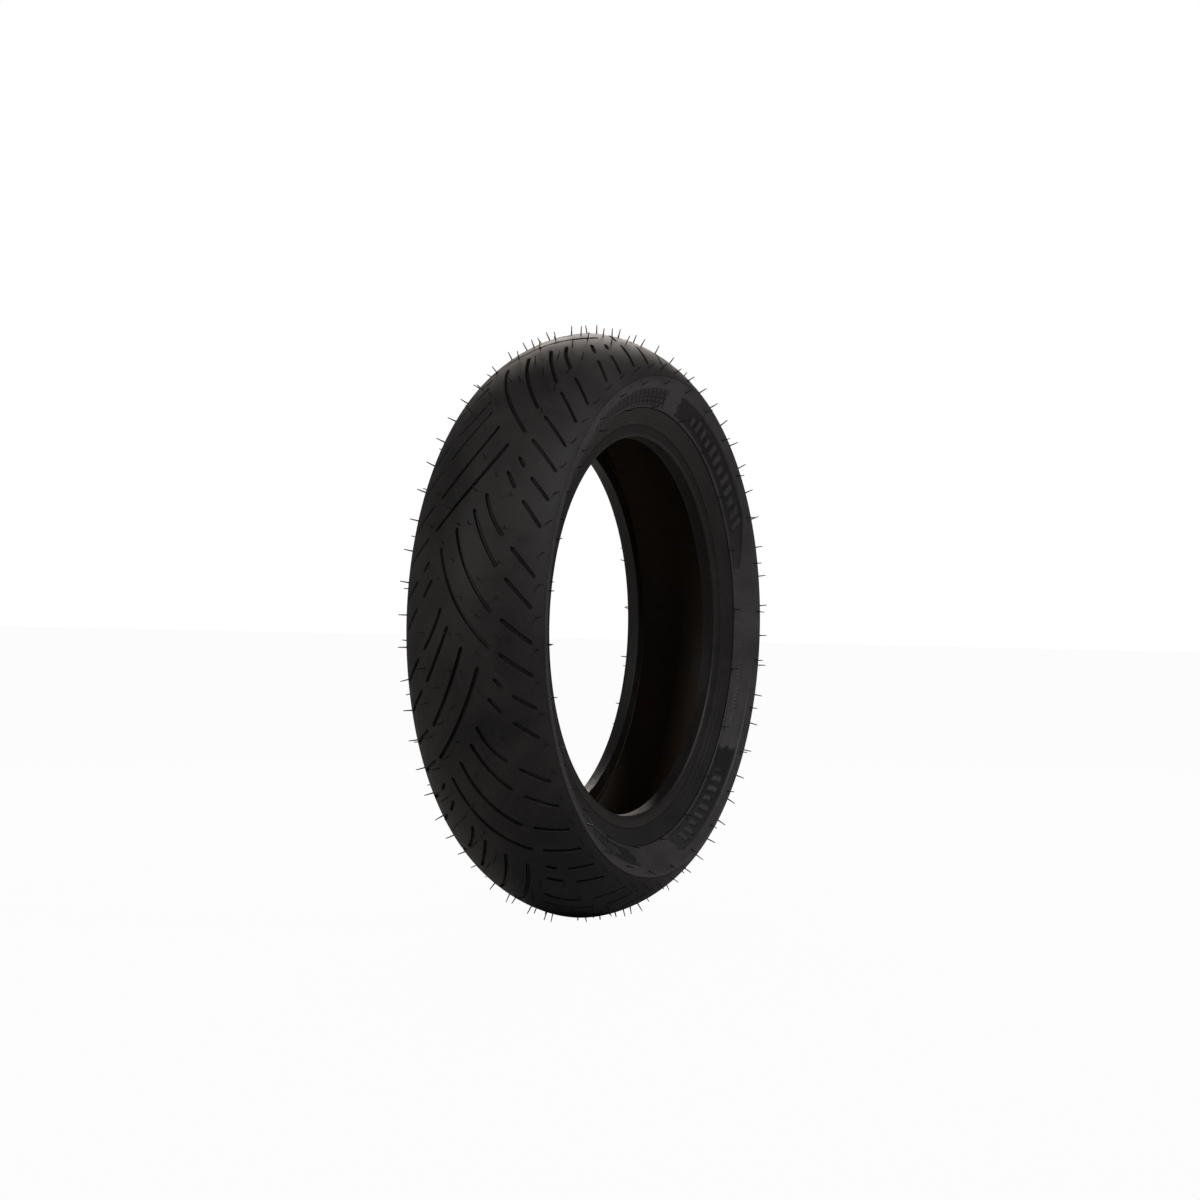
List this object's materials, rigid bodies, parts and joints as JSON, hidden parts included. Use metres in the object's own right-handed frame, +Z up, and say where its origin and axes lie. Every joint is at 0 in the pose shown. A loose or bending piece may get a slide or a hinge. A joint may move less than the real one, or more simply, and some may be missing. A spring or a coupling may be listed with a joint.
{
  "type": "motorcycle tyre",
  "caption": "Tubeless motorcycle tyre, off its rim, with a rounded crown of long sweeping grooves, marked sidewalls and a full belted carcass inside.",
  "frame": {"origin": "middle of the wheel: on the wheel axis, half way between the two sidewalls", "axes": "+Y along the wheel axis, from the marked sidewall to the other one; +Z up with the tyre standing on its tread"},
  "size_m": [0.552, 0.142, 0.552],
  "materials": {
    "tread_rubber": "matte moulded rubber with a faint warm sheen",
    "sidewall_rubber": "smooth satin moulded rubber",
    "bead_rubber": "satin hard rubber",
    "base_rubber": "matte rubber compound",
    "liner_rubber": "dark satin butyl rubber",
    "cord_fabric": "rubberised cord fabric",
    "bead_wire": "bronze plated wire"
  },
  "bodies": {
    "root": {"tread_cap": "tread_rubber", "undertread": "base_rubber", "belt_outer": "cord_fabric", "belt_inner": "cord_fabric", "belt_edge_cushion_left": "base_rubber", "belt_edge_cushion_right": "base_rubber", "carcass_ply_outer": "cord_fabric", "carcass_ply_inner": "cord_fabric", "inner_liner": "liner_rubber", "sidewall_left": "sidewall_rubber", "sidewall_right": "sidewall_rubber", "rim_cushion_left": "bead_rubber", "rim_cushion_right": "bead_rubber", "chafer_left": "bead_rubber", "chafer_right": "bead_rubber", "bead_filler_left": "base_rubber", "bead_filler_right": "base_rubber", "bead_wrap_left": "cord_fabric", "bead_wrap_right": "cord_fabric", "bead_core_left": "bead_wire", "bead_core_right": "bead_wire"}
  },
  "joints": []
}
